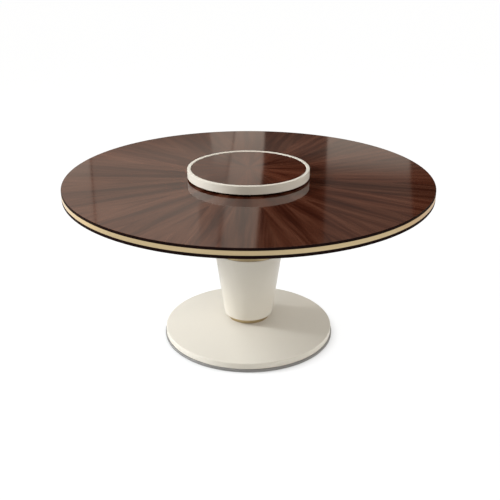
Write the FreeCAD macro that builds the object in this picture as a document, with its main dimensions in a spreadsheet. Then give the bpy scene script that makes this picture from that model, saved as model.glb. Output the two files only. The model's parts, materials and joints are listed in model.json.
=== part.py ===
import FreeCAD, Part
import os
import Sketcher

# Round pedestal dining table with a turntable (lazy susan) in the middle of its top.
# The origin is on the floor under the centre of the table, and +Z is up.

doc = FreeCAD.newDocument("turntable_table")
sheet = doc.addObject("Spreadsheet::Sheet", "Sizes")

# Driving dimensions in millimetres. Counts are plain numbers.
sizes = {
    # tabletop: two dark panels with a gold band between them, veneered on top
    "tableHeight": 750,
    "topDiameter": 1600,
    "veneerThickness": 1,
    "upperPanelThickness": 10,
    "corePanelThickness": 18,
    "lowerPanelThickness": 13,
    "bandWidth": 6,
    "panelBevel": 1.5,
    "topLeafCount": 24,
    # turntable: two boards inside a lacquered rim, veneered on top
    "turntableDiameter": 530,
    "rimHeight": 37,
    "rimWidth": 15,
    "rimBevel": 1.5,
    "trayRecess": 2,
    "backerThickness": 15,
    "trayLeafCount": 16,
    # ring bearing that carries the turntable
    "bearingHeight": 8,
    "ballCircleDiameter": 360,
    "ballDiameter": 4.5,
    "ballCount": 16,
    "ballPlay": 0.1,
    "raceWidth": 18,
    "raceGap": 2.8,
    "raceRelief": 0.8,
    "cageThickness": 1.6,
    "cageHeight": 6,
    # foot: glides, ballast plate and turned cover
    "glideCount": 6,
    "glideInset": 33,
    "glideDiameter": 30,
    "glideThickness": 2,
    "floorPlateLip": 4.5,
    "floorPlateThickness": 12,
    "coverDiameter": 766,
    "coverHeight": 66,
    "coverEdgeHeight": 28,
    "coverEdgeBevel": 2.5,
    "coverRimWidth": 18,
    "coverRoof": 14,
    "coverHubMargin": 7,
    "coverLandMargin": 1.5,
    # column: two shells of one taper, each standing on a gold ring set back under its edge
    "columnFootDiameter": 220,
    "lowerConeHeadDiameter": 307,
    "lowerConeHeight": 310,
    "footRingHeight": 23,
    "middleRingHeight": 26,
    "footRingSetback": 17,
    "middleRingSetback": 3,
    "ringWall": 8,
    "coneWall": 20,
    "coneBevel": 1.5,
    "discThickness": 18,
    # steel post inside the column
    "postDiameter": 76,
    "postWall": 5,
    "postClearance": 0.5,
    "flangeDiameter": 200,
    "flangeThickness": 10,
    "plugHeight": 28,
    "topPlateOverhang": 28,
    "topPlateThickness": 8,
    # fasteners: thread, length and number
    "baseBoltDiameter": 10,
    "baseBoltLength": 20,
    "baseBoltCount": 6,
    "coverScrewDiameter": 5,
    "coverScrewLength": 30,
    "coverScrewCount": 6,
    "plateScrewDiameter": 10,
    "plateScrewLength": 25,
    "plateScrewInset": 13,
    "plateScrewCount": 4,
    "topBoltDiameter": 8,
    "topBoltLength": 25,
    "topBoltCount": 8,
    "topBoltHeadWidth": 15,
    "topBoltHeadHeight": 5.3,
    "washerDiameter": 16,
    "washerThickness": 1.6,
    "insertDiameter": 12,
    "insertLength": 18,
    "fixedScrewDiameter": 5,
    "fixedScrewLength": 48,
    "trayScrewDiameter": 4,
    "trayScrewLength": 18,
    "bearingScrewCount": 6,
    "holeClearance": 0.5,
}

for row, (alias, number) in enumerate(sizes.items(), start=1):
    sheet.set("A" + str(row), alias)
    sheet.set("B" + str(row), str(number))
    sheet.setAlias("B" + str(row), alias)
doc.recompute()


# Expressions. Every size below is a formula on the cells, written as text.

def size(alias):
    return "Sizes." + alias


def plus(*terms):
    return "(" + " + ".join(terms) + ")"


def minus(first, *others):
    return "(" + " - ".join((first,) + others) + ")"


def half(term):
    return "(" + term + " / 2)"


def value(expression):
    return float(sheet.evalExpression(expression))


# Building operations

def originPart(body, role):
    for feature in body.Origin.OriginFeatures:
        if feature.Role == role:
            return feature


def newBody(label):
    body = doc.addObject("PartDesign::Body", label)
    body.Label = label
    return body


def bindCorner(sketch, index, direction, expression):
    # a corner on the axis or on the floor is tied to that line, any other by its distance
    if abs(value(expression)) < 1e-9:
        line = -2 if direction == "X" else -1
        sketch.addConstraint(Sketcher.Constraint("PointOnObject", index, 1, line))
        return
    number = sketch.addConstraint(
        Sketcher.Constraint("Distance" + direction, -1, 1, index, 1, value(expression)))
    sketch.setExpression("Constraints[" + str(number) + "]", expression)


def turned(label, outline, angle="360"):
    # a body turned about the table's axis from an outline of (radius, height) corners
    body = newBody(label)
    sketch = body.newObject("Sketcher::SketchObject", label + "_outline")
    sketch.AttachmentSupport = [(originPart(body, "XZ_Plane"), "")]
    sketch.MapMode = "FlatFace"
    corners = [FreeCAD.Vector(value(radius), value(height), 0) for radius, height in outline]
    for index, corner in enumerate(corners):
        sketch.addGeometry(Part.LineSegment(corner, corners[(index + 1) % len(corners)]), False)
    for index, (radius, height) in enumerate(outline):
        before = (index - 1) % len(outline)
        sketch.addConstraint(Sketcher.Constraint("Coincident", before, 2, index, 1))
        bindCorner(sketch, index, "X", radius)
        bindCorner(sketch, index, "Y", height)
    turn = body.newObject("PartDesign::Revolution", label + "_turn")
    turn.Profile = sketch
    turn.ReferenceAxis = (sketch, ["V_Axis"])
    turn.Midplane = True
    turn.setExpression("Angle", angle)
    doc.recompute()
    return body


def disc(label, radius, bottom, top, angle="360"):
    return turned(label, [("0", bottom), (radius, bottom), (radius, top), ("0", top)], angle)


def hoop(label, inner, outer, bottom, top):
    return turned(label, [(inner, bottom), (outer, bottom), (outer, top), (inner, top)])


def shaped(body, kind, name, dimensions, radius, height, tilt=0):
    # a primitive added to or cut from a body, placed at a radius along X and a height
    feature = body.newObject("PartDesign::" + kind, name)
    feature.Placement = FreeCAD.Placement(
        FreeCAD.Vector(), FreeCAD.Rotation(FreeCAD.Vector(0, 1, 0), tilt))
    for dimension, expression in dimensions.items():
        feature.setExpression(dimension, expression)
    feature.setExpression("Placement.Base.x", radius)
    feature.setExpression("Placement.Base.z", height)
    doc.recompute()
    return feature


def repeatRound(body, features, count):
    # features of one body repeated round the table's axis
    pattern = body.newObject("PartDesign::PolarPattern", features[0].Name + "_ring")
    pattern.Originals = features
    pattern.Axis = (originPart(body, "Z_Axis"), [""])
    pattern.Angle = 360
    pattern.setExpression("Occurrences", count)
    body.Tip = pattern
    doc.recompute()


def drill(body, name, thread, pitch, bottom, top, count, play="0", sink=""):
    # a ring of upright holes; a sink is a 90 degree seat twice as wide as the thread
    radius = half(thread)
    holes = [shaped(body, "SubtractiveCylinder", name,
                    {"Radius": plus(radius, play), "Height": minus(top, bottom)}, pitch, bottom)]
    if sink == "below":
        holes.append(shaped(body, "SubtractiveCone", name + "_sink",
                            {"Radius1": thread, "Radius2": radius, "Height": radius},
                            pitch, bottom))
    if sink == "above":
        holes.append(shaped(body, "SubtractiveCone", name + "_sink",
                            {"Radius1": radius, "Radius2": thread, "Height": radius},
                            pitch, minus(top, radius)))
    repeatRound(body, holes, count)


def bevelEdges(body, amount, corners):
    # bevel the turned edges that pass through the given (radius, height) corners
    base = body.Tip
    names = []
    for number, edge in enumerate(base.Shape.Edges, start=1):
        if isinstance(edge.Curve, Part.Circle):
            for radius, height in corners:
                atRadius = abs(edge.Curve.Radius - value(radius)) < 1e-4
                if atRadius and abs(edge.Curve.Center.z - value(height)) < 1e-4:
                    names.append("Edge" + str(number))
    bevel = body.newObject("PartDesign::Chamfer", body.Name + "_bevel")
    bevel.Base = (base, names)
    bevel.setExpression("Size", amount)
    doc.recompute()


def sunkScrew(label, thread, length, pitch, face, upward=True):
    # a countersunk screw whose flat head is flush with the face that it enters
    radius = half(thread)
    body = newBody(label)
    if upward:
        shaped(body, "AdditiveCone", label + "_head",
               {"Radius1": thread, "Radius2": radius, "Height": radius}, pitch, face)
        start = plus(face, radius)
    else:
        shaped(body, "AdditiveCone", label + "_head",
               {"Radius1": radius, "Radius2": thread, "Height": radius},
               pitch, minus(face, radius))
        start = minus(face, length)
    shaped(body, "AdditiveCylinder", label + "_shank",
           {"Radius": radius, "Height": minus(length, radius)}, pitch, start)
    return body


def ringOf(label, item, count):
    # identical pieces of one node, each a solid of its own, spaced round the table's axis
    group = doc.addObject("Part::Feature", label)
    group.Label = label
    number = round(value(count))
    copies = []
    for place in range(number):
        copy = item.Shape.copy()
        copy.rotate(FreeCAD.Vector(), FreeCAD.Vector(0, 0, 1), 360.0 * place / number)
        copies.append(copy)
    group.Shape = Part.makeCompound(copies)
    group.Placement = FreeCAD.Placement()
    return group


# Heights, from the floor up

plateBottom = size("glideThickness")
plateTop = plus(plateBottom, size("floorPlateThickness"))
flangeTop = plus(plateTop, size("flangeThickness"))
coverEdgeTop = plus(plateTop, size("coverEdgeHeight"))
coverTop = plus(plateTop, size("coverHeight"))
lowerConeBottom = plus(coverTop, size("footRingHeight"))
lowerConeTop = plus(lowerConeBottom, size("lowerConeHeight"))
upperConeBottom = plus(lowerConeTop, size("middleRingHeight"))
tableTop = size("tableHeight")
upperPanelTop = minus(tableTop, size("veneerThickness"))
corePanelTop = minus(upperPanelTop, size("upperPanelThickness"))
lowerPanelTop = minus(corePanelTop, size("corePanelThickness"))
underside = minus(lowerPanelTop, size("lowerPanelThickness"))
postTop = minus(underside, size("topPlateThickness"))
ballLevel = plus(tableTop, half(size("bearingHeight")))
trayBottom = plus(tableTop, size("bearingHeight"))
backerTop = plus(trayBottom, size("backerThickness"))
rimTop = plus(trayBottom, size("rimHeight"))
trayTop = minus(rimTop, size("trayRecess"))
boardTop = minus(trayTop, size("veneerThickness"))

# Radii

postRadius = half(size("postDiameter"))
postHole = plus(postRadius, size("postClearance"))
plugRadius = minus(postRadius, size("postWall"))
flangeRadius = half(size("flangeDiameter"))
coverRadius = half(size("coverDiameter"))
coverRimInner = minus(coverRadius, size("coverRimWidth"))
floorPlateRadius = plus(coverRadius, size("floorPlateLip"))
footRadius = half(size("columnFootDiameter"))
lowerHeadRadius = half(size("lowerConeHeadDiameter"))
topRadius = half(size("topDiameter"))
bandInner = minus(topRadius, size("bandWidth"))
trayRadius = half(size("turntableDiameter"))
rimInner = minus(trayRadius, size("rimWidth"))
ballPitch = half(size("ballCircleDiameter"))
fixedRaceOuter = minus(ballPitch, half(size("raceGap")))
fixedRaceInner = minus(fixedRaceOuter, size("raceWidth"))
movingRaceInner = plus(ballPitch, half(size("raceGap")))
movingRaceOuter = plus(movingRaceInner, size("raceWidth"))
fixedScrewPitch = half(plus(fixedRaceInner, fixedRaceOuter))
trayScrewPitch = half(plus(movingRaceInner, movingRaceOuter))
baseBoltPitch = half(plus(postRadius, flangeRadius))
coverScrewPitch = half(plus(coverRimInner, coverRadius))
plateScrewPitch = minus(plugRadius, size("plateScrewInset"))


def columnRadius(height):
    # the column's outer face is one straight taper, set by the lower shell's two ends
    widening = minus(lowerHeadRadius, footRadius) + " / " + size("lowerConeHeight")
    return plus(footRadius, minus(height, lowerConeBottom) + " * " + widening)


upperHeadRadius = columnRadius(postTop)
topPlateRadius = plus(upperHeadRadius, size("topPlateOverhang"))
topBoltPitch = half(plus(upperHeadRadius, topPlateRadius))


# Foot: glides under a ballast plate, and the turned cover that hides it

def floorGlides():
    glide = newBody("floor_glide")
    shaped(glide, "AdditiveCylinder", "floor_glide_disc",
           {"Radius": half(size("glideDiameter")), "Height": size("glideThickness")},
           minus(coverRadius, size("glideInset")), "0")
    return ringOf("floor_glides", glide, size("glideCount"))


def floorPlate():
    plate = disc("floor_plate", floorPlateRadius, plateBottom, plateTop)
    drill(plate, "base_bolt_hole", size("baseBoltDiameter"), baseBoltPitch, plateBottom,
          plateTop, size("baseBoltCount"), size("holeClearance"), "below")
    drill(plate, "cover_screw_hole", size("coverScrewDiameter"), coverScrewPitch, plateBottom,
          plateTop, size("coverScrewCount"), size("holeClearance"), "below")
    return plate


def baseCover():
    # a shallow cone with an upright edge, hollow between its hub and its rim
    hubRadius = plus(flangeRadius, size("coverHubMargin"))
    landRadius = plus(minus(footRadius, size("footRingSetback")), size("coverLandMargin"))
    cover = turned("base_cover", [
        (postHole, flangeTop),
        (hubRadius, flangeTop),
        (hubRadius, minus(coverTop, size("coverRoof"))),
        (coverRimInner, minus(coverEdgeTop, size("coverRoof"))),
        (coverRimInner, plateTop),
        (coverRadius, plateTop),
        (coverRadius, coverEdgeTop),
        (landRadius, coverTop),
        (postHole, coverTop),
    ])
    drill(cover, "cover_screw_pilot", size("coverScrewDiameter"), coverScrewPitch, plateTop,
          plus(plateBottom, size("coverScrewLength")), size("coverScrewCount"))
    bevelEdges(cover, size("coverEdgeBevel"), [(coverRadius, coverEdgeTop)])
    return cover


def footFasteners():
    bolt = sunkScrew("base_bolt", size("baseBoltDiameter"), size("baseBoltLength"),
                     baseBoltPitch, plateBottom)
    screw = sunkScrew("cover_screw", size("coverScrewDiameter"), size("coverScrewLength"),
                      coverScrewPitch, plateBottom)
    return [ringOf("base_bolts", bolt, size("baseBoltCount")),
            ringOf("cover_screws", screw, size("coverScrewCount"))]


# Steel post: a tube welded into a flange, with a tapped plug in its head

def postFlange():
    flange = hoop("post_flange", postRadius, flangeRadius, plateTop, flangeTop)
    drill(flange, "flange_thread", size("baseBoltDiameter"), baseBoltPitch, plateTop,
          flangeTop, size("baseBoltCount"))
    return flange


def postTube():
    return hoop("post_tube", plugRadius, postRadius, plateTop, postTop)


def postPlug():
    bottom = minus(postTop, size("plugHeight"))
    plug = disc("post_plug", plugRadius, bottom, postTop)
    drill(plug, "plug_thread", size("plateScrewDiameter"), plateScrewPitch, bottom, postTop,
          size("plateScrewCount"))
    return plug


def topPlate():
    plate = disc("top_plate", topPlateRadius, postTop, underside)
    drill(plate, "plate_screw_hole", size("plateScrewDiameter"), plateScrewPitch, postTop,
          underside, size("plateScrewCount"), size("holeClearance"), "above")
    drill(plate, "top_bolt_hole", size("topBoltDiameter"), topBoltPitch, postTop,
          underside, size("topBoltCount"), size("holeClearance"))
    return plate


def plateScrews():
    screw = sunkScrew("plate_screw", size("plateScrewDiameter"), size("plateScrewLength"),
                      plateScrewPitch, underside, upward=False)
    return ringOf("plate_screws", screw, size("plateScrewCount"))


# Column: two tapered shells round the post, standing on gold rings

def goldRing(label, shellRadius, setback, bottom, top):
    outer = minus(shellRadius, size(setback))
    return hoop(label, minus(outer, size("ringWall")), outer, bottom, top)


def columnSection(name, bottom, top):
    # a shell with a disc glued in each end; the discs centre it on the post
    outerFoot = columnRadius(bottom)
    outerHead = columnRadius(top)
    innerFoot = minus(outerFoot, size("coneWall"))
    innerHead = minus(outerHead, size("coneWall"))
    footLevel = plus(bottom, size("discThickness"))
    headLevel = minus(top, size("discThickness"))
    overFootDisc = minus(columnRadius(footLevel), size("coneWall"))
    underHeadDisc = minus(columnRadius(headLevel), size("coneWall"))
    shell = turned(name, [(innerFoot, bottom), (outerFoot, bottom),
                          (outerHead, top), (innerHead, top)])
    bevelEdges(shell, size("coneBevel"), [(outerFoot, bottom), (outerHead, top)])
    footDisc = turned(name + "_foot_disc", [(postHole, bottom), (innerFoot, bottom),
                                            (overFootDisc, footLevel), (postHole, footLevel)])
    headDisc = turned(name + "_head_disc", [(postHole, headLevel), (underHeadDisc, headLevel),
                                            (innerHead, top), (postHole, top)])
    return [shell, footDisc, headDisc]


# Tabletop: lower panel, core with its gold band, upper panel and a sunburst of veneer leaves

def drillForFixedRace(body, name, bottom, top, sink=""):
    drill(body, name, size("fixedScrewDiameter"), fixedScrewPitch, bottom, top,
          size("bearingScrewCount"), size("holeClearance"), sink)


def lowerPanel():
    bevel = size("panelBevel")
    panel = turned("lower_panel", [
        ("0", underside),
        (minus(topRadius, bevel), underside),
        (topRadius, plus(underside, bevel)),
        (topRadius, lowerPanelTop),
        ("0", lowerPanelTop),
    ])
    drill(panel, "lower_insert_hole", size("insertDiameter"), topBoltPitch, underside,
          lowerPanelTop, size("topBoltCount"))
    drillForFixedRace(panel, "lower_race_hole", underside, lowerPanelTop, "below")
    return panel


def corePanel():
    panel = disc("core_panel", bandInner, lowerPanelTop, corePanelTop)
    drill(panel, "core_insert_hole", size("insertDiameter"), topBoltPitch, lowerPanelTop,
          plus(underside, size("insertLength")), size("topBoltCount"))
    drillForFixedRace(panel, "core_race_hole", lowerPanelTop, corePanelTop)
    return panel


def upperPanel():
    bevel = size("panelBevel")
    panel = turned("upper_panel", [
        ("0", corePanelTop),
        (topRadius, corePanelTop),
        (topRadius, minus(upperPanelTop, bevel)),
        (minus(topRadius, bevel), upperPanelTop),
        ("0", upperPanelTop),
    ])
    drillForFixedRace(panel, "upper_race_hole", corePanelTop, upperPanelTop)
    return panel


def sunburst(label, radius, bottom, top, count):
    # wedge-shaped leaves that meet at the centre, each centred on its own direction
    leaf = disc(label + "_leaf", radius, bottom, top, "(360 / " + count + ")")
    return ringOf(label, leaf, count)


def topVeneer():
    leaves = sunburst("top_leaves", minus(topRadius, size("panelBevel")), upperPanelTop,
                      tableTop, size("topLeafCount"))
    bit = newBody("veneer_bit")
    shaped(bit, "AdditiveCylinder", "veneer_bit_shaft",
           {"Radius": plus(half(size("fixedScrewDiameter")), size("holeClearance")),
            "Height": size("veneerThickness")}, fixedScrewPitch, upperPanelTop)
    veneer = doc.addObject("Part::Cut", "top_veneer")
    veneer.Label = "top_veneer"
    veneer.Base = leaves
    veneer.Tool = ringOf("veneer_bits", bit, size("bearingScrewCount"))
    doc.recompute()
    return veneer


def topFasteners():
    # hex bolts up through the top plate into threaded inserts in the panels
    washerBottom = minus(postTop, size("washerThickness"))
    headBottom = minus(washerBottom, size("topBoltHeadHeight"))
    boltRadius = half(size("topBoltDiameter"))
    bolt = newBody("top_bolt")
    shaped(bolt, "AdditivePrism", "top_bolt_head",
           {"Circumradius": half(size("topBoltHeadWidth")), "Height": size("topBoltHeadHeight")},
           topBoltPitch, headBottom)
    shaped(bolt, "AdditiveCylinder", "top_bolt_shank",
           {"Radius": boltRadius, "Height": size("topBoltLength")}, topBoltPitch, washerBottom)
    washer = newBody("top_washer")
    shaped(washer, "AdditiveCylinder", "top_washer_disc",
           {"Radius": half(size("washerDiameter")), "Height": size("washerThickness")},
           topBoltPitch, washerBottom)
    shaped(washer, "SubtractiveCylinder", "top_washer_hole",
           {"Radius": plus(boltRadius, size("holeClearance")), "Height": size("washerThickness")},
           topBoltPitch, washerBottom)
    insert = newBody("top_insert")
    shaped(insert, "AdditiveCylinder", "top_insert_body",
           {"Radius": half(size("insertDiameter")), "Height": size("insertLength")},
           topBoltPitch, underside)
    shaped(insert, "SubtractiveCylinder", "top_insert_thread",
           {"Radius": boltRadius, "Height": size("insertLength")}, topBoltPitch, underside)
    count = size("topBoltCount")
    return [ringOf("top_bolts", bolt, count),
            ringOf("top_washers", washer, count),
            ringOf("top_inserts", insert, count)]


# Ring bearing: a fixed race inside a moving race, with caged balls between their grooves

def race(label, inner, outer, bottom, top):
    ring = hoop(label, inner, outer, bottom, top)
    shaped(ring, "SubtractiveTorus", label + "_groove",
           {"Radius1": ballPitch, "Radius2": plus(half(size("ballDiameter")), size("ballPlay"))},
           "0", ballLevel)
    return ring


def fixedRace():
    top = minus(trayBottom, size("raceRelief"))
    ring = race("fixed_race", fixedRaceInner, fixedRaceOuter, tableTop, top)
    drill(ring, "fixed_race_thread", size("fixedScrewDiameter"), fixedScrewPitch, tableTop, top,
          size("bearingScrewCount"))
    return ring


def movingRace():
    bottom = plus(tableTop, size("raceRelief"))
    ring = race("moving_race", movingRaceInner, movingRaceOuter, bottom, trayBottom)
    drill(ring, "moving_race_hole", size("trayScrewDiameter"), trayScrewPitch, bottom,
          trayBottom, size("bearingScrewCount"), size("holeClearance"), "below")
    return ring


def ballCage():
    wall = half(size("cageThickness"))
    rise = half(size("cageHeight"))
    cage = hoop("ball_cage", minus(ballPitch, wall), plus(ballPitch, wall),
                minus(ballLevel, rise), plus(ballLevel, rise))
    pocket = shaped(cage, "SubtractiveCylinder", "ball_pocket",
                    {"Radius": plus(half(size("ballDiameter")), size("ballPlay")),
                     "Height": size("raceGap")},
                    fixedRaceOuter, ballLevel, tilt=90)
    repeatRound(cage, [pocket], size("ballCount"))
    return cage


def bearingBalls():
    ball = newBody("bearing_ball")
    shaped(ball, "AdditiveSphere", "bearing_ball_sphere",
           {"Radius": half(size("ballDiameter"))}, ballPitch, ballLevel)
    return ringOf("bearing_balls", ball, size("ballCount"))


def raceScrews():
    fixed = sunkScrew("fixed_race_screw", size("fixedScrewDiameter"), size("fixedScrewLength"),
                      fixedScrewPitch, underside)
    moving = sunkScrew("moving_race_screw", size("trayScrewDiameter"), size("trayScrewLength"),
                       trayScrewPitch, plus(tableTop, size("raceRelief")))
    return [ringOf("fixed_race_screws", fixed, size("bearingScrewCount")),
            ringOf("moving_race_screws", moving, size("bearingScrewCount"))]


# Turntable: backer and board inside the lacquered rim, with its own sunburst on top

def turntableBacker():
    backer = disc("turntable_backer", rimInner, trayBottom, backerTop)
    screwTip = plus(tableTop, size("raceRelief"), size("trayScrewLength"))
    drill(backer, "tray_screw_pilot", size("trayScrewDiameter"), trayScrewPitch, trayBottom,
          screwTip, size("bearingScrewCount"))
    return backer


def turntableRim():
    rim = hoop("turntable_rim", rimInner, trayRadius, trayBottom, rimTop)
    bevelEdges(rim, size("rimBevel"),
               [(rimInner, rimTop), (trayRadius, rimTop), (trayRadius, trayBottom)])
    return rim


nodes = [floorGlides(), floorPlate(), baseCover()] + footFasteners()
nodes += [postFlange(), postTube(), postPlug(), topPlate(), plateScrews()]
nodes.append(goldRing("foot_ring", footRadius, "footRingSetback", coverTop, lowerConeBottom))
nodes += columnSection("lower_cone", lowerConeBottom, lowerConeTop)
nodes.append(goldRing("middle_ring", lowerHeadRadius, "middleRingSetback", lowerConeTop,
                      upperConeBottom))
nodes += columnSection("upper_cone", upperConeBottom, postTop)
nodes += [lowerPanel(), corePanel(), upperPanel(), topVeneer()] + topFasteners()
nodes.append(hoop("edge_band", bandInner, topRadius, lowerPanelTop, corePanelTop))
nodes += [fixedRace(), movingRace(), ballCage(), bearingBalls()] + raceScrews()
nodes += [turntableBacker(), turntableRim()]
nodes.append(disc("turntable_board", rimInner, backerTop, boardTop))
nodes.append(sunburst("turntable_veneer", rimInner, boardTop, trayTop, size("trayLeafCount")))
doc.recompute()

for item in doc.Objects:
    if "Invalid" in item.State or "Error" in item.State:
        raise RuntimeError(item.Label + " did not compute")
os.makedirs("parts", exist_ok=True)
for node in nodes:
    if node.Shape.isNull() or not node.Shape.isValid():
        raise RuntimeError(node.Label + " is not a valid shape")
    print(node.Label, len(node.Shape.Solids), "solids", round(node.Shape.Volume), "mm3")
for node in nodes:
    node.Shape.exportStep("parts/" + node.Label + ".step")
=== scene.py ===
import json
import math

import bmesh
import bpy
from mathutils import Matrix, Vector


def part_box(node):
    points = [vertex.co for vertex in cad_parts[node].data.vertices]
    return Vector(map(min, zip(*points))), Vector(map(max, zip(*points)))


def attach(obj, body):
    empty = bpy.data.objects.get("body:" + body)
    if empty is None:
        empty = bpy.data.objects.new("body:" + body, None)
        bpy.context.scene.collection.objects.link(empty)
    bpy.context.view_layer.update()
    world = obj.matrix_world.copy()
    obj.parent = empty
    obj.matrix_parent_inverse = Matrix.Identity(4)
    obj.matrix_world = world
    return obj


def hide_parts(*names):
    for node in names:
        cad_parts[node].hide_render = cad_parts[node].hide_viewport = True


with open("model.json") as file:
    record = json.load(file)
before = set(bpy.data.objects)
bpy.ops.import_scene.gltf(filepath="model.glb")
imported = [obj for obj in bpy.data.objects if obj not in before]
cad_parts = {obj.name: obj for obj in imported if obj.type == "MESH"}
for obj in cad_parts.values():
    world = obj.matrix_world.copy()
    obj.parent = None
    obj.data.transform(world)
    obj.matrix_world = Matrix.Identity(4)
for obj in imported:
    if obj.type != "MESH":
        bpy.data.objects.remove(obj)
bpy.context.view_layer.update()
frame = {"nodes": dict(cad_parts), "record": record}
print("frame loaded:", len(frame["nodes"]), "nodes")


def placed(name, data):
    thing = bpy.data.objects.new(name, data)
    bpy.context.scene.collection.objects.link(thing)
    return thing


# Shader maths: a Wire is one output of a node, and sums and products of wires add Math nodes

class Wire:
    def __init__(self, tree, socket):
        self.tree = tree
        self.socket = socket

    def __add__(self, other):
        return self.tree.math("ADD", self, other)

    def __sub__(self, other):
        return self.tree.math("SUBTRACT", self, other)

    def __rsub__(self, other):
        return self.tree.math("SUBTRACT", other, self)

    def __mul__(self, other):
        return self.tree.math("MULTIPLY", self, other)

    def __truediv__(self, other):
        return self.tree.math("DIVIDE", self, other)

    def __rtruediv__(self, other):
        return self.tree.math("DIVIDE", other, self)

    def __mod__(self, other):
        return self.tree.math("FLOORED_MODULO", self, other)

    __radd__ = __add__
    __rmul__ = __mul__


class NodeTree:
    def __init__(self, owner):
        owner.use_nodes = True
        self.nodes = owner.node_tree.nodes
        self.links = owner.node_tree.links

    def add(self, kind, settings, sockets, output=0):
        # one node: its settings first, then the values or wires of its sockets
        node = self.nodes.new("ShaderNode" + kind)
        for name, setting in settings.items():
            if name == "stops":
                self.setStops(node.color_ramp.elements, setting)
            else:
                setattr(node, name, setting)
        for name, amount in sockets.items():
            self.feed(self.pick(node.inputs, name), amount)
        return Wire(self, self.pick(node.outputs, output))

    def setStops(self, elements, stops):
        for number, (place, colour) in enumerate(stops):
            stop = elements[number] if number < 2 else elements.new(place)  # a new ramp has two
            stop.position = place
            stop.color = colour

    def pick(self, sockets, name):
        # a socket by name or number, from those that the node's settings leave in use
        enabled = [socket for socket in sockets if socket.enabled]
        if isinstance(name, int):
            return enabled[name]
        return next(socket for socket in enabled if socket.name == name)

    def feed(self, socket, amount):
        if isinstance(amount, Wire):
            self.links.new(amount.socket, socket)
        else:
            socket.default_value = amount

    def math(self, operation, *amounts):
        return self.add("Math", {"operation": operation}, dict(enumerate(amounts)))

    def vector(self, x, y, z):
        return self.add("CombineXYZ", {}, {"X": x, "Y": y, "Z": z})

    def parts(self, vector):
        return [self.add("SeparateXYZ", {}, {0: vector}, axis) for axis in "XYZ"]

    def stretched(self, axes, scales):
        return self.vector(*[axis * scale for axis, scale in zip(axes, scales)])

    def noise(self, vector, scale=1.0, detail=2.0, roughness=0.5, distortion=0.0):
        # runs from about 0.25 to 0.75, round 0.5
        return self.add("TexNoise", {}, {"Vector": vector, "Scale": scale, "Detail": detail,
                                         "Roughness": roughness, "Distortion": distortion})

    def ramp(self, amount, stops):
        return self.add("ValToRGB", {"stops": stops}, {0: amount})

    def range(self, amount, low, high, toLow=0.0, toHigh=1.0):
        return self.add("MapRange", {"interpolation_type": "SMOOTHSTEP"},
                        {"Value": amount, "From Min": low, "From Max": high,
                         "To Min": toLow, "To Max": toHigh})

    def mix(self, mode, factor, first, second):
        return self.add("Mix", {"data_type": "RGBA", "blend_type": mode},
                        {"Factor": factor, "A": first, "B": second})


class Finish(NodeTree):
    # a material with its Principled shader; the constants go on the shader's own sockets
    def __init__(self, name, constants):
        self.material = bpy.data.materials.new(name)
        super().__init__(self.material)
        self.shader = self.nodes["Principled BSDF"]
        for socket, amount in constants.items():
            self.shader.inputs[socket].default_value = amount
        self.place = self.add("TexCoord", {}, {}, "Object")

    def drive(self, socket, wire):
        self.links.new(wire.socket, self.shader.inputs[socket])

    def tone(self, amount, tones, low=0.3, high=0.7):
        # the base colour, from the dark tone to the light one
        self.drive("Base Color", self.ramp(amount, [(low, tones["dark"]), (high, tones["light"])]))

    def bump(self, height, depth, strength=1.0):
        normal = self.add("Bump", {}, {"Strength": strength, "Distance": depth, "Height": height})
        self.drive("Normal", normal)

    def polar(self):
        # angle and radius round the table's axis, and the height
        x, y, z = self.parts(self.place)
        return self.math("ARCTAN2", y, x), self.math("SQRT", x * x + y * y), z


def tint(red, green, blue):
    return (red, green, blue, 1.0)


def grey(level):
    return (level, level, level, 1.0)


# Finishes. A fineness is a noise's scale per metre, and three of them hold round the table's
# axis, outwards and up. A depth is a bump's height in metres.

walnut = {
    "heart": tint(0.0330, 0.0058, 0.0022),
    "dark": tint(0.0530, 0.0122, 0.0054),
    "middle": tint(0.0750, 0.0210, 0.0103),
    "light": tint(0.1090, 0.0370, 0.0200),
    "bands": {"along": 1.2, "across": 26, "share": 0.42},
    "streaks": {"along": 3, "across": 90, "share": 0.48},
    "fibres": {"along": 14, "across": 700, "share": 0.10},
    "fibreDepth": 0.0001,
    "wander": 0.06,     # how strongly the grain strays sideways
    "leafStep": 0.06,   # how much the figure changes from one leaf to the next
    "leafShade": 0.4,   # how far whole leaves differ from each other
    "sideShade": 0.04,  # from a leaf's one side to its other
    "seam": 0.0004,
    "seamShade": 0.6,
    "roughness": 0.28,
    "coatRoughness": 0.07,
    "top": {"leaves": 24, "seed": 15.0, "lightness": 1.03},
    "turntable": {"leaves": 16, "seed": 176.0, "lightness": 1.27},
}


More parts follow.
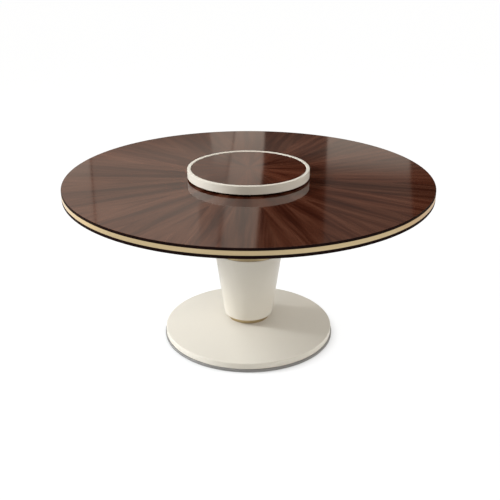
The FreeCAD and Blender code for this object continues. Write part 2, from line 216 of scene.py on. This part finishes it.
def walnutSunburst(name, look):
    # leaves cut from one log, laid as mirrored pairs round the centre, under polished lacquer
    wood = Finish(name, {"Specular IOR Level": 0.0, "Coat Weight": 1.0, "Coat IOR": 1.5,
                         "Coat Roughness": walnut["coatRoughness"]})
    angle, radius = wood.polar()[:2]
    pitch = 2 * math.pi / look["leaves"]
    nearest = wood.math("FLOOR", angle / pitch + 0.5)
    turn = angle - nearest * pitch
    leaf = nearest % look["leaves"]
    along = radius * wood.math("COSINE", turn)
    side = radius * wood.math("SINE", turn) * (1 - leaf % 2 * 2)
    cut = leaf * walnut["leafStep"] + look["seed"]

    wander = wood.noise(wood.vector(along * 1.6, side * 4, cut)) * walnut["wander"]
    lane = side + wander

    def grain(layer, depth, **texture):
        place = wood.vector(along * layer["along"], lane * layer["across"], depth)
        return wood.noise(place, **texture)

    bands = grain(walnut["bands"], cut, detail=1)
    streaks = grain(walnut["streaks"], cut + 7, detail=3, roughness=0.6)
    fibres = grain(walnut["fibres"], cut + 13)
    figure = bands * walnut["bands"]["share"] + streaks * walnut["streaks"]["share"]
    lean = side / (along * math.tan(pitch / 2)) * walnut["sideShade"]
    colour = wood.ramp(figure + fibres * walnut["fibres"]["share"] + lean, [
        (0.36, walnut["heart"]),
        (0.44, walnut["dark"]),
        (0.51, walnut["middle"]),
        (0.63, walnut["light"]),
    ])

    chance = wood.add("TexWhiteNoise", {"noise_dimensions": "1D"}, {"W": leaf + look["seed"]})
    shade = chance * walnut["leafShade"] + (look["lightness"] - walnut["leafShade"] / 2)
    shaded = wood.mix("MULTIPLY", 1.0, colour, shade)
    toSeam = radius * (pitch / 2 - wood.math("ABSOLUTE", turn))
    seam = wood.range(toSeam, 0.0, walnut["seam"], walnut["seamShade"], 1.0)
    wood.drive("Base Color", wood.mix("MULTIPLY", 1.0, shaded, seam))
    wood.drive("Roughness", fibres * 0.25 + walnut["roughness"])
    wood.bump(fibres, walnut["fibreDepth"])
    return wood.material


cream = {
    "dark": tint(0.775, 0.722, 0.632),
    "light": tint(0.805, 0.756, 0.668),
    "cloudFineness": 2.2,
    "speckFineness": 160,
    "peelFineness": 420,
    "peelDepth": 0.00004,
    "roughness": 0.30,
    "gloss": 0.45,
    "coat": 0.25,
    "coatRoughness": 0.12,
}


def creamLacquer():
    # sprayed satin lacquer: a faint orange peel and the smallest drift in tone
    paint = Finish("cream_satin_lacquer", {"Specular IOR Level": cream["gloss"],
                                           "Coat Weight": cream["coat"],
                                           "Coat Roughness": cream["coatRoughness"]})
    cloud = paint.noise(paint.place, cream["cloudFineness"], 3)
    speck = paint.noise(paint.place, cream["speckFineness"], 2, 0.6)
    paint.tone(cloud * 0.8 + speck * 0.2, cream)
    paint.drive("Roughness", cloud * 0.12 + cream["roughness"])
    paint.bump(paint.noise(paint.place, cream["peelFineness"]), cream["peelDepth"])
    return paint.material


darkEdge = {
    "dark": tint(0.0060, 0.0016, 0.0012),
    "light": tint(0.0130, 0.0036, 0.0024),
    "streakFineness": (9, 30, 400),
    "peelFineness": 300,
    "peelDepth": 0.00003,
    "roughness": 0.25,
    "coat": 0.08,
    "coatRoughness": 0.08,
}


def darkLacquer():
    paint = Finish("dark_gloss_lacquer", {"Specular IOR Level": 0.0,
                                          "Coat Weight": darkEdge["coat"],
                                          "Coat Roughness": darkEdge["coatRoughness"]})
    streak = paint.noise(paint.stretched(paint.polar(), darkEdge["streakFineness"]), detail=3)
    paint.tone(streak, darkEdge)
    paint.drive("Roughness", streak * 0.2 + darkEdge["roughness"])
    paint.bump(paint.noise(paint.place, darkEdge["peelFineness"]), darkEdge["peelDepth"])
    return paint.material


gold = {
    "dark": tint(0.500, 0.388, 0.220),
    "light": tint(0.615, 0.483, 0.287),
    "scratchFineness": (6, 900, 1800),
    "scratchDepth": 0.00005,
    "patchFineness": (3, 8, 40),
    "roughness": 0.20,
}


def brushedGold():
    # brushed round the table, so the scratches run level along the edge
    metal = Finish("brushed_champagne_gold", {"Metallic": 1.0})
    around = metal.polar()
    scratches = metal.noise(metal.stretched(around, gold["scratchFineness"]), detail=3,
                            roughness=0.6)
    patches = metal.noise(metal.stretched(around, gold["patchFineness"]))
    metal.tone(scratches * 0.6 + patches * 0.4, gold)
    metal.drive("Roughness", scratches * 0.22 + gold["roughness"])
    metal.bump(scratches, gold["scratchDepth"], 0.6)
    return metal.material


machining = {
    "markFineness": (4, 1500, 1500),
    "markDepth": 0.00004,
    "markSpread": 0.10,    # of the roughness
    "smudgeFineness": 14,
    "smudgeSpread": 0.25,
}


def machinedMetal(name, dark, light, roughness):
    # turned or drawn metal with fine circular tool marks
    metal = Finish(name, {"Metallic": 1.0})
    marks = metal.noise(metal.stretched(metal.polar(), machining["markFineness"]), detail=3,
                        roughness=0.6)
    smudge = metal.noise(metal.place, machining["smudgeFineness"], 3, 0.55)
    metal.tone(marks * 0.5 + smudge * 0.5, {"dark": tint(*dark), "light": tint(*light)})
    spread = smudge * machining["smudgeSpread"] + marks * machining["markSpread"]
    middle = (machining["smudgeSpread"] + machining["markSpread"]) / 2
    metal.drive("Roughness", spread + (roughness - middle))
    metal.bump(marks, machining["markDepth"], 0.5)
    return metal.material


powder = {
    "dark": tint(0.235, 0.228, 0.220),
    "light": tint(0.310, 0.300, 0.290),
    "grainFineness": 900,
    "grainDepth": 0.00012,
    "cloudFineness": 6,
    "roughness": 0.40,
    "gloss": 0.45,
}


def powderCoat():
    paint = Finish("graphite_powder_coat", {"Specular IOR Level": powder["gloss"]})
    grain = paint.noise(paint.place, powder["grainFineness"], 2, 0.6)
    cloud = paint.noise(paint.place, powder["cloudFineness"])
    paint.tone(grain * 0.6 + cloud * 0.4, powder, 0.35, 0.65)
    paint.drive("Roughness", grain * 0.2 + powder["roughness"])
    paint.bump(grain, powder["grainDepth"])
    return paint.material


fibreboard = {
    "dark": tint(0.300, 0.205, 0.118),
    "light": tint(0.470, 0.350, 0.225),
    "fibreFineness": 260,
    "fibreDepth": 0.0002,
    "cloudFineness": 9,
    "roughness": 0.68,
    "gloss": 0.2,
}


def rawBoard():
    # pressed fibreboard: short fibres in every direction
    board = Finish("raw_fibreboard", {"Specular IOR Level": fibreboard["gloss"]})
    fibre = board.noise(board.place, fibreboard["fibreFineness"], 4, 0.7, 1.2)
    cloud = board.noise(board.place, fibreboard["cloudFineness"])
    board.tone(fibre * 0.7 + cloud * 0.3, fibreboard, 0.32, 0.68)
    board.drive("Roughness", fibre * 0.2 + fibreboard["roughness"])
    board.bump(fibre, fibreboard["fibreDepth"])
    return board.material


plywood = {
    "dark": tint(0.420, 0.278, 0.150),
    "light": tint(0.690, 0.535, 0.350),
    "plyThickness": 0.0015,
    "plyShade": 0.18,
    "grainFineness": (3, 140, 5),  # along the board's length, across it and up
    "grainDepth": 0.0002,
    "roughness": 0.52,
    "gloss": 0.25,
}


def birchPlywood():
    # straight grain on the faces and thin alternate plies round the edge
    board = Finish("birch_plywood", {"Specular IOR Level": plywood["gloss"]})
    axes = board.parts(board.place)
    grain = board.noise(board.stretched(axes, plywood["grainFineness"]), detail=4, roughness=0.6)
    ply = board.math("PINGPONG", axes[2], plywood["plyThickness"]) / plywood["plyThickness"]
    shade = board.range(ply, 0.35, 0.65) * plywood["plyShade"]
    board.tone(grain * 0.7 + shade, plywood, 0.30, 0.62)
    board.drive("Roughness", grain * 0.2 + plywood["roughness"])
    board.bump(grain, plywood["grainDepth"])
    return board.material


nylon = {
    "dark": tint(0.745, 0.735, 0.680),
    "light": tint(0.830, 0.822, 0.775),
    "flowFineness": 40,
    "flowDepth": 0.00005,
    "roughness": 0.32,
    "gloss": 0.5,
    "subsurface": 0.05,
}


def naturalNylon():
    plastic = Finish("natural_nylon", {"Specular IOR Level": nylon["gloss"],
                                       "Subsurface Weight": nylon["subsurface"]})
    flow = plastic.noise(plastic.place, nylon["flowFineness"], 3, 0.5, 0.8)
    plastic.tone(flow, nylon)
    plastic.drive("Roughness", flow * 0.2 + nylon["roughness"])
    plastic.bump(flow, nylon["flowDepth"])
    return plastic.material


felt = {
    "dark": grey(0.135),
    "light": grey(0.260),
    "fibreFineness": 1400,
    "fibreDepth": 0.0004,
    "roughness": 0.88,
    "gloss": 0.1,
    "sheen": 0.4,
    "sheenRoughness": 0.5,
}


def greyFelt():
    pad = Finish("grey_felt", {"Specular IOR Level": felt["gloss"], "Sheen Weight": felt["sheen"],
                               "Sheen Roughness": felt["sheenRoughness"]})
    fibre = pad.noise(pad.place, felt["fibreFineness"], 4, 0.75, 2.0)
    pad.tone(fibre, felt)
    pad.drive("Roughness", fibre * 0.1 + felt["roughness"])
    pad.bump(fibre, felt["fibreDepth"])
    return pad.material


topWalnut = walnutSunburst("walnut_sunburst_top", walnut["top"])
turntableWalnut = walnutSunburst("walnut_sunburst_turntable", walnut["turntable"])
finishes = {
    "walnut_veneer": topWalnut,
    "dark_lacquer": darkLacquer(),
    "fibreboard": rawBoard(),
    "plywood": birchPlywood(),
    "cream_lacquer": creamLacquer(),
    "gold_metal": brushedGold(),
    "graphite_steel": powderCoat(),
    "raw_steel": machinedMetal("drawn_steel", (0.31, 0.30, 0.29), (0.44, 0.43, 0.42), 0.42),
    "zinc_steel": machinedMetal("zinc_plate", (0.52, 0.53, 0.53), (0.68, 0.68, 0.65), 0.34),
    "polished_steel": machinedMetal("ball_steel", (0.70, 0.70, 0.71), (0.80, 0.80, 0.81), 0.12),
    "aluminium": machinedMetal("turned_aluminium", (0.56, 0.57, 0.58), (0.68, 0.68, 0.69), 0.30),
    "nylon": naturalNylon(),
    "felt_grey": greyFelt(),
}
slots = {part["node"]: part["material_slot"] for part in frame["record"]["subparts"]}
for node, piece in frame["nodes"].items():
    piece.data.materials.clear()
    piece.data.materials.append(finishes[slots[node]])
print("finishes made:", len(finishes))


# Turned pieces. An outline is a list of (radius, height, rounding) corners, in metres.

turning = {
    "steps": 360,
    "arcSteps": 5,
    "shrink": 0.00002,  # kept inside the solid that it stands for
    "weld": 0.000001,   # points nearer than this become one
    "probe": 0.0005,    # a solid's vertex this near to a face counts as on it
}


def extent(node):
    # outer radius, bottom and top of a round CAD node
    low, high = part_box(node)
    return (high.x - low.x) / 2, low.z, high.z


def cornersOf(node):
    # radius and height of every vertex of a CAD node
    return [(Vector(vertex.co[:2]).length, vertex.co.z)
            for vertex in frame["nodes"][node].data.vertices]


def roundCorner(before, corner, after):
    # the corner as an arc that meets both of its sides
    rounding = corner[2]
    here = Vector(corner[:2])
    if rounding == 0:
        return [here]
    toBefore = (Vector(before[:2]) - here).normalized()
    toAfter = (Vector(after[:2]) - here).normalized()
    half = toBefore.angle(toAfter) / 2
    centre = here + (toBefore + toAfter).normalized() * (rounding / math.sin(half))
    start = here + toBefore * (rounding / math.tan(half)) - centre
    end = here + toAfter * (rounding / math.tan(half)) - centre
    sweep = start.angle_signed(end)
    points = []
    for step in range(turning["arcSteps"] + 1):
        turn = -sweep * step / turning["arcSteps"]
        points.append(centre + Vector((start.x * math.cos(turn) - start.y * math.sin(turn),
                                       start.x * math.sin(turn) + start.y * math.cos(turn))))
    return points


def turnedPiece(name, outline, node, body, material=None):
    # one solid turned about the table's axis, which stands for a CAD node
    points = []
    for number, corner in enumerate(outline):
        points += roundCorner(outline[number - 1], corner, outline[(number + 1) % len(outline)])
    shape = bmesh.new()
    ring = [shape.verts.new((max(point.x - turning["shrink"], 0), 0, point.y)) for point in points]
    for number, vertex in enumerate(ring):
        following = ring[(number + 1) % len(ring)]
        if vertex.co.x > 0 or following.co.x > 0:
            shape.edges.new((vertex, following))
    bmesh.ops.spin(shape, geom=shape.verts[:] + shape.edges[:], cent=(0, 0, 0), axis=(0, 0, 1),
                   angle=2 * math.pi, steps=turning["steps"])
    bmesh.ops.remove_doubles(shape, verts=shape.verts[:], dist=turning["weld"])
    bmesh.ops.recalc_face_normals(shape, faces=shape.faces[:])
    mesh = bpy.data.meshes.new(name)
    shape.to_mesh(mesh)
    shape.free()
    mesh.shade_smooth()
    mesh.materials.append(material or finishes[slots[node]])
    piece = placed(name, mesh)
    weighted = piece.modifiers.new("even_shading", "WEIGHTED_NORMAL")
    weighted.weight = 100
    weighted.keep_sharp = True
    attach(piece, body)
    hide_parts(node)


def hoopPiece(name, node, body, wall, roundings):
    # a straight ring; roundings run from the inner bottom corner outwards and up
    outer, bottom, top = extent(node)
    inner = outer - wall
    corners = [(inner, bottom), (outer, bottom), (outer, top), (inner, top)]
    outline = [(radius, height, rounding)
               for (radius, height), rounding in zip(corners, roundings)]
    turnedPiece(name, outline, node, body)


# Foot

foot = {
    "plateRounding": 0.0012,
    "coverFootRounding": 0.0012,
    "coverEdgeRounding": 0.0045,
    "coverHubRounding": 0.001,
    "coverRimWidth": 0.018,
    "coverRoof": 0.014,        # how thick the cover is under its slope
    "coverLand": 0.0015,       # level ground round the gold ring
    "solidEdgeBevel": 0.0025,  # the solid's upright side ends this far under its slope
}


def makeFoot():
    plateRadius, plateBottom, plateTop = extent("floor_plate")
    turnedPiece("ballast_plate", [
        (0, plateBottom, 0),
        (plateRadius, plateBottom, foot["plateRounding"]),
        (plateRadius, plateTop, foot["plateRounding"]),
        (0, plateTop, 0),
    ], "floor_plate", "table")

    coverRadius, coverBottom, coverTop = extent("base_cover")
    ringRadius = extent("foot_ring")[0]
    rimInner = coverRadius - foot["coverRimWidth"]
    corners = cornersOf("base_cover")
    bore = min(radius for radius, height in corners if height > coverTop - turning["probe"])
    sideTop = max(height for radius, height in corners if radius > coverRadius - turning["probe"])
    edgeTop = sideTop + foot["solidEdgeBevel"]
    turnedPiece("foot_cover", [
        (bore, coverTop - foot["coverRoof"], 0),
        (rimInner, edgeTop - foot["coverRoof"], 0),
        (rimInner, coverBottom, 0),
        (coverRadius, coverBottom, foot["coverFootRounding"]),
        (coverRadius, edgeTop, foot["coverEdgeRounding"]),
        (ringRadius + foot["coverLand"], coverTop, foot["coverHubRounding"]),
        (bore, coverTop, 0),
    ], "base_cover", "table")


makeFoot()
print("foot made")


# Column

column = {
    "arris": 0.0016,
    "solidArris": 0.001504,  # what the solid's own bevel takes off the shell's foot
    "shellWall": 0.020,
    "ringEase": 0.0006,
    "ringWall": 0.008,
}


def makeShell(name, node):
    # a tapered shell, its wall as thick as the solid's
    headRadius, bottom, top = extent(node)
    bevelled = max(radius for radius, height in cornersOf(node)
                   if height < bottom + turning["probe"])
    footRadius = bevelled + column["solidArris"]
    turnedPiece(name, [
        (footRadius - column["shellWall"], bottom, 0),
        (footRadius, bottom, column["arris"]),
        (headRadius, top, column["arris"]),
        (headRadius - column["shellWall"], top, 0),
    ], node, "table")


def makeGoldRing(name, node):
    ease = column["ringEase"]
    hoopPiece(name, node, "table", column["ringWall"], [0, ease, ease, 0])


makeShell("lower_shell", "lower_cone")
makeShell("upper_shell", "upper_cone")
makeGoldRing("foot_gold_ring", "foot_ring")
makeGoldRing("middle_gold_ring", "middle_ring")
print("column made")


# Tabletop

tabletop = {
    "panelArris": 0.0015,
    "bandEase": 0.0004,
    "bandWidth": 0.006,
    "veneerArris": 0.0005,
}


def makeTop():
    ease = tabletop["bandEase"]
    outer, bottom, top = extent("lower_panel")
    turnedPiece("lower_top_panel", [
        (0, bottom, 0),
        (outer, bottom, tabletop["panelArris"]),
        (outer, top, ease),
        (0, top, 0),
    ], "lower_panel", "table")
    outer, bottom, top = extent("upper_panel")
    turnedPiece("upper_top_panel", [
        (0, bottom, 0),
        (outer, bottom, ease),
        (outer, top, tabletop["panelArris"]),
        (0, top, 0),
    ], "upper_panel", "table")
    hoopPiece("gold_edge_band", "edge_band", "table", tabletop["bandWidth"], [0, ease, ease, 0])
    outer, bottom, top = extent("top_veneer")
    turnedPiece("top_veneer_leaves", [
        (0, bottom, 0),
        (outer, bottom, 0),
        (outer, top, tabletop["veneerArris"]),
        (0, top, 0),
    ], "top_veneer", "table", topWalnut)


makeTop()
print("tabletop made")


# Turntable

turntable = {
    "rimArris": 0.0022,
    "rimWidth": 0.015,
    "inlayEase": 0.0003,
}


def makeTurntable():
    arris = turntable["rimArris"]
    hoopPiece("lacquered_rim", "turntable_rim", "turntable", turntable["rimWidth"],
              [0, arris, arris, arris])
    outer, bottom, top = extent("turntable_veneer")
    turnedPiece("turntable_veneer_leaves", [
        (0, bottom, 0),
        (outer, bottom, 0),
        (outer, top, turntable["inlayEase"]),
        (0, top, 0),
    ], "turntable_veneer", "turntable", turntableWalnut)


makeTurntable()
print("turntable made")


# Floor, sky and lamps

studio = {
    "floorSize": 40.0,
    "floorTone": grey(0.76),
    "floorRoughness": 0.9,
    "floorGlow": 1.1,       # strength of the white that the floor gives by itself
    "floorShare": 0.86,     # of that white in what is seen of the floor
    "paintedContactShade": 0.045,  # how far the painted contact shade round the foot reaches, over the real shadow
    "sky": [(0.0, 0.60), (0.30, 0.94), (0.60, 0.92), (0.85, 0.0)],  # sine of height, strength
    "skyTint": tint(1.0, 0.98, 0.93),
    "skyStrength": 2.0,     # a ramp stops at 1, so the strengths are divided by this in it
    "lampAim": (0, 0, 0.45),
    "lamps": {
        "key_softbox": {"place": (-3.43, 0.10, 2.50), "size": (0.6, 0.9), "power": 163,
                        "colour": (0.93, 0.97, 1.0)},
        "right_fill": {"place": (3.46, 0.0, 2.45), "size": (1.5, 1.5), "power": 40,
                       "colour": (1.0, 0.985, 0.96)},
    },
}


def backgroundRays(tree):
    # 1 for what the camera, a reflection or clear glass sees
    rays = [tree.add("LightPath", {}, {}, name)
            for name in ("Is Camera Ray", "Is Glossy Ray", "Is Transmission Ray")]
    return tree.math("MINIMUM", rays[0] + rays[1] + rays[2], 1.0)


def placedSheet(name, corners, faces, material):
    mesh = bpy.data.meshes.new(name)
    mesh.from_pydata(corners, [], faces)
    mesh.materials.append(material)
    sheet = placed(name, mesh)
    return sheet


def levelSheet(name, near, far, height, material):
    # a level rectangle between two (x, y) corners
    corners = [(near[0], near[1], height), (far[0], near[1], height),
               (far[0], far[1], height), (near[0], far[1], height)]
    return placedSheet(name, corners, [(0, 1, 2, 3)], material)


def makeFloor():
    paint = Finish("pale_floor", {"Base Color": studio["floorTone"], "Specular IOR Level": 0.0,
                                  "Roughness": studio["floorRoughness"]})
    white = paint.add("Emission", {}, {"Color": grey(1.0), "Strength": studio["floorGlow"]})
    # near the foot the floor's own white gives way by how enclosed each point is: painted contact
    # shade, laid over the real shadow that the lit floor shows
    openness = paint.add("AmbientOcclusion", {}, {"Distance": studio["paintedContactShade"]}, "AO")
    share = backgroundRays(paint) * studio["floorShare"] * openness
    lit = Wire(paint, paint.shader.outputs[0])
    both = paint.add("MixShader", {}, {0: share, 1: lit, 2: white})
    paint.links.new(both.socket, paint.nodes["Material Output"].inputs["Surface"])
    reach = studio["floorSize"] / 2
    levelSheet("studio_floor", (-reach, -reach), (reach, reach), 0, paint.material)


def makeSky():
    world = bpy.data.worlds.new("studio")
    bpy.context.scene.world = world
    tree = NodeTree(world)
    strength = studio["skyStrength"]
    seen = backgroundRays(tree)
    height = tree.parts(tree.add("TexCoord", {}, {}, "Generated"))[2]
    sky = tree.ramp(height, [(place, grey(level / strength)) for place, level in studio["sky"]])
    light = tree.mix("MULTIPLY", 1.0, sky, studio["skyTint"])
    background = tree.nodes["Background"]
    background.inputs["Strength"].default_value = strength
    tree.links.new(tree.mix("MIX", seen, light, grey(1 / strength)).socket,
                   background.inputs["Color"])


def makeLamps():
    for name, lamp in studio["lamps"].items():
        light = bpy.data.lights.new(name, "AREA")
        light.shape = "RECTANGLE"
        light.size, light.size_y = lamp["size"]
        light.energy = lamp["power"]
        light.color = lamp["colour"]
        holder = placed(name, light)
        holder.location = lamp["place"]
        aim = Vector(studio["lampAim"]) - Vector(lamp["place"])
        holder.rotation_euler = aim.to_track_quat("-Z", "Y").to_euler()
        holder.visible_camera = False
        holder.visible_glossy = False


# What stands round the table and shows only in its gloss: a round wall of panels, and sheets
# on the floor. A panel's edges are in degrees clockwise from the far side. Its edges and its
# levels are one number, or one for each height of the wall's courses.

room = {
    "courses": [0.0, 2.1, 2.40, 2.60, 3.05, 3.6, 9.0],
    "wallRadius": 6.0,
    "wallStep": 4,  # degrees
    "wallTone": (0.99, 0.885, 0.755),
    "panels": {
        "dark_wall": {"from": -180, "to": 180, "radius": 6.3,
                      "level": [0.06, 0.06, 0.14, 0.01, 0.01, 0.02, 0.015]},
        "left_curtain_end": {"from": -40, "to": -18.02,
                             "level": [0.28, 0.28, 0.74, 0.58, 0.64, 0.56, 0.50]},
        "left_curtain": {"from": -17.86,
                         "to": [-4.5, -4.4, -4.0, -4.1, -5.85, -5.85, -5.85],
                         "level": [0.24, 0.24, 0.48, 0.46, 0.66, 0.66, 0.50]},
        "left_fold": {"from": [-4.5, -4.4, -4.0, -4.1, -5.85, -5.85, -5.85],
                      "to": [-1.65, -1.65, -2.08, -2.45, -3.2, -3.85, -8.0],
                      "level": [0.58, 0.58, 0.68, 0.49, 0.34, 0.58, 0.50]},
        "fold_shade": {"from": -6.0, "to": 1.0, "radius": 6.1,
                       "level": [0.25, 0.25, 0.18, 0.30, 0.40, 0.14, 0.14]},
        "bright_strip": {"from": [-1.5, -1.5, -1.93, -2.2, -2.75, -3.4, -8.0],
                         "to": [1.85, 1.85, 1.75, 1.7, 1.25, 0.8, 0.3],
                         "level": [0.70, 0.70, 0.61, 0.68, 0.59, 0.62, 0.60]},
        "right_curtain": {"from": 9.0,
                          "to": [18.3, 18.3, 18.4, 18.6, 19.2, 19.8, 24.0],
                          "level": [0.66, 0.67, 0.54, 0.13, 0.14, 0.15, 0.12]},
    },
    "backPanels": [(31, 36), (52, 74), (92, 97), (118, 140), (155, 161), (176, 190), (206, 224),
                   (236, 242), (258, 284), (296, 302)],
    "backLevel": 0.55,
    "sheetHeight": 0.001,
    "sheets": {
        "front_shade": {"near": (-0.75, -2.0), "far": (0.75, -0.41), "glow": (0.36, 0.35, 0.34)},
        "left_shine": {"near": (-4.0, -0.2), "far": (-1.2, 3.5), "glow": (1.55, 1.48, 1.38)},
        "left_shade": {"near": (-1.15, -0.2), "far": (-0.25, 1.6), "glow": (0.80, 0.80, 0.80)},
        "right_shade": {"near": (1.2, -0.2), "far": (4.0, 3.5), "glow": (0.94, 0.82, 0.74)},
    },
}


def glowing(name, colour):
    return Finish(name, {"Base Color": grey(0.0), "Specular IOR Level": 0.0, "Roughness": 1.0,
                         "Emission Color": colour, "Emission Strength": 1.0})


def showOnlyInGloss(sheet):
    sheet.visible_camera = False
    sheet.visible_diffuse = False
    sheet.visible_shadow = False
    sheet.visible_transmission = False


def atCourses(amount):
    return amount if isinstance(amount, list) else [amount] * len(room["courses"])


def makePanel(name, panel):
    courses = room["courses"]
    starts = atCourses(panel["from"])
    ends = atCourses(panel["to"])
    radius = panel.get("radius", room["wallRadius"])
    steps = max(1, math.ceil((ends[0] - starts[0]) / room["wallStep"]))
    corners = []
    for height, start, end in zip(courses, starts, ends):
        for step in range(steps + 1):
            angle = math.radians(start + (end - start) * step / steps)
            corners.append((radius * math.sin(angle), radius * math.cos(angle), height))
    across = steps + 1
    faces = [(row * across + step, row * across + step + 1,
              (row + 1) * across + step + 1, (row + 1) * across + step)
             for row in range(len(courses) - 1) for step in range(steps)]
    glow = glowing(name, grey(1.0))
    height = glow.parts(glow.place)[2] / courses[-1]
    glow.drive("Emission Color", glow.ramp(height, [
        (course / courses[-1], tint(*[channel * level for channel in room["wallTone"]]))
        for course, level in zip(courses, atCourses(panel["level"]))]))
    showOnlyInGloss(placedSheet(name, corners, faces, glow.material))


def makeRoom():
    for name, panel in room["panels"].items():
        makePanel(name, panel)
    for number, (start, end) in enumerate(room["backPanels"]):
        makePanel("back_panel_" + str(number),
                  {"from": start, "to": end, "level": room["backLevel"]})
    for name, sheet in room["sheets"].items():
        glow = glowing(name, tint(*sheet["glow"]))
        showOnlyInGloss(levelSheet(name, sheet["near"], sheet["far"], room["sheetHeight"],
                                   glow.material))


# Camera

view = {
    "place": (0.0, -3.3329, 1.8113),
    "pitchDown": 22.87,
    "lens": 57.6,
    "sensor": 36.0,
    "shift": 0.00298,
}


def makeCamera():
    data = bpy.data.cameras.new("studio_camera")
    data.lens = view["lens"]
    data.sensor_width = view["sensor"]
    data.shift_x = view["shift"]
    camera = placed("studio_camera", data)
    camera.location = view["place"]
    camera.rotation_euler = (math.radians(90 - view["pitchDown"]), 0, 0)
    bpy.context.scene.camera = camera


makeFloor()
makeSky()
makeRoom()
makeLamps()
makeCamera()
bpy.context.scene.view_settings.view_transform = "Standard"
print("studio made")
